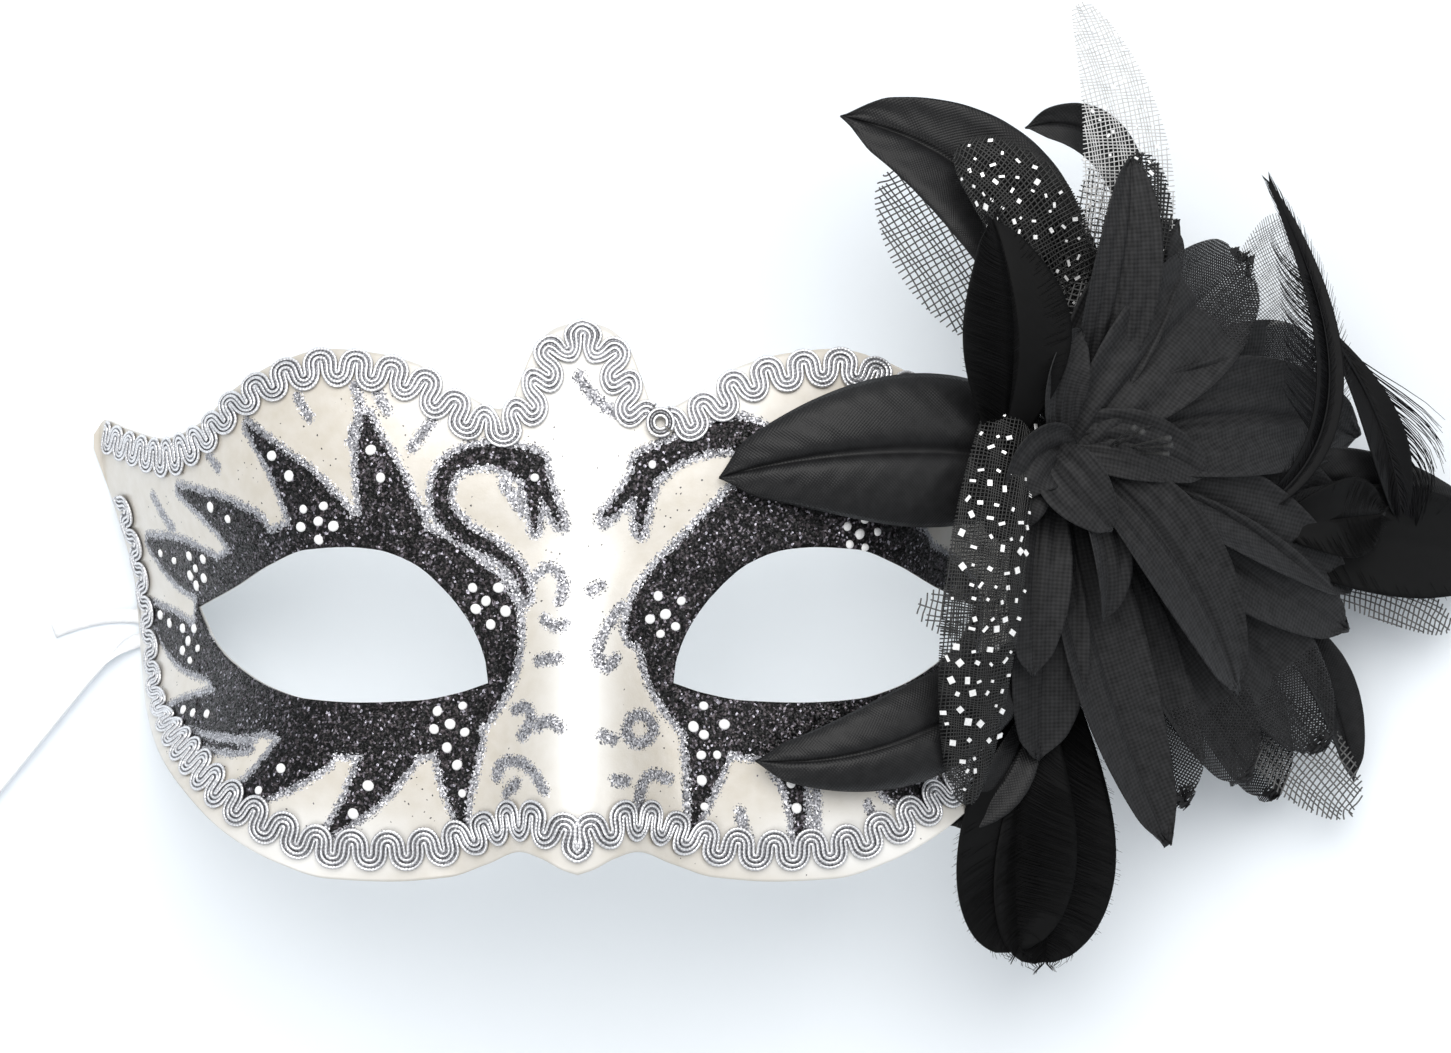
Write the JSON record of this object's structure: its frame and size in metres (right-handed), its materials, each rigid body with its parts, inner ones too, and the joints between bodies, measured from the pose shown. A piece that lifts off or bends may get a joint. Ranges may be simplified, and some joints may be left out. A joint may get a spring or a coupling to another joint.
{
  "type": "masquerade mask",
  "caption": "Venetian half mask in pearl cream with glittered eye patterns, silver braid edging, a ribbon and a black flower, leaf and feather spray at one temple.",
  "frame": {"origin": "midway between the two temple rims, on the surface that the mask lies on, level with the middle of the eye holes", "axes": "+X across the face towards the flower spray, +Y towards the forehead, +Z out of the face and up when the mask lies face up"},
  "size_m": [0.3643, 0.1933, 0.0919],
  "materials": {
    "pearl_shell": "pearl cream lacquer with black and silver glitter painting",
    "silver_gimp": "metallic silver scroll gimp",
    "white_satin": "white satin ribbon",
    "white_felt": "white felt",
    "black_felt": "black felt",
    "black_floral_tape": "matt wrapped tape",
    "stamen_wire": "dark thread-wrapped wire",
    "black_organza": "charcoal woven petal cloth with a soft sheen",
    "black_satin": "black satin cloth",
    "goose_feather": "dyed black feather",
    "coque_feather": "glossy dyed black feather",
    "black_net": "fine black net",
    "dotted_tulle": "black tulle with silver foil flecks"
  },
  "bodies": {
    "root": {"mask_shell": "pearl_shell", "brow_braid_left": "silver_gimp", "brow_braid_right": "silver_gimp", "cheek_braid": "silver_gimp", "braid_join": "silver_gimp", "ribbon_patch": "white_felt", "left_ribbon": "white_satin", "left_ribbon_tail": "white_satin", "left_ribbon_coil": "white_satin", "ribbon_coil_tie": "white_satin", "felt_pad": "black_felt", "flower_calyx": "black_floral_tape", "flower_stamens": "stamen_wire", "petal_01": "black_organza", "petal_02": "black_organza", "petal_03": "black_organza", "petal_04": "black_organza", "petal_05": "black_organza", "petal_06": "black_organza", "petal_07": "black_organza", "petal_08": "black_organza", "petal_09": "black_organza", "petal_10": "black_organza", "petal_11": "black_organza", "petal_12": "black_organza", "petal_13": "black_organza", "petal_14": "black_organza", "petal_15": "black_organza", "petal_16": "black_organza", "petal_17": "black_organza", "petal_18": "black_organza", "petal_19": "black_organza", "petal_20": "black_organza", "petal_21": "black_organza", "petal_22": "black_organza", "petal_23": "black_organza", "satin_leaf_left": "black_satin", "satin_leaf_lower_left": "black_satin", "satin_leaf_top_left": "black_satin", "satin_leaf_top_small": "black_satin", "satin_leaf_right": "black_satin", "satin_leaf_rolled": "black_satin", "satin_leaf_lower_tip": "black_satin", "goose_feather_upper": "goose_feather", "goose_feather_lower_a": "goose_feather", "goose_feather_lower_b": "goose_feather", "goose_feather_right": "goose_feather", "goose_feather_fan": "goose_feather", "coque_feather_tall": "coque_feather", "coque_feather_right": "coque_feather", "net_top": "black_net", "net_upper_left": "black_net", "net_upper_mid": "black_net", "net_right": "black_net", "net_lower_right": "black_net", "net_eye_corner": "black_net", "organza_ruffle": "black_organza", "dotted_tulle_sash": "dotted_tulle", "dotted_tulle_leaf": "dotted_tulle", "dotted_tulle_top": "dotted_tulle"}
  },
  "joints": []
}
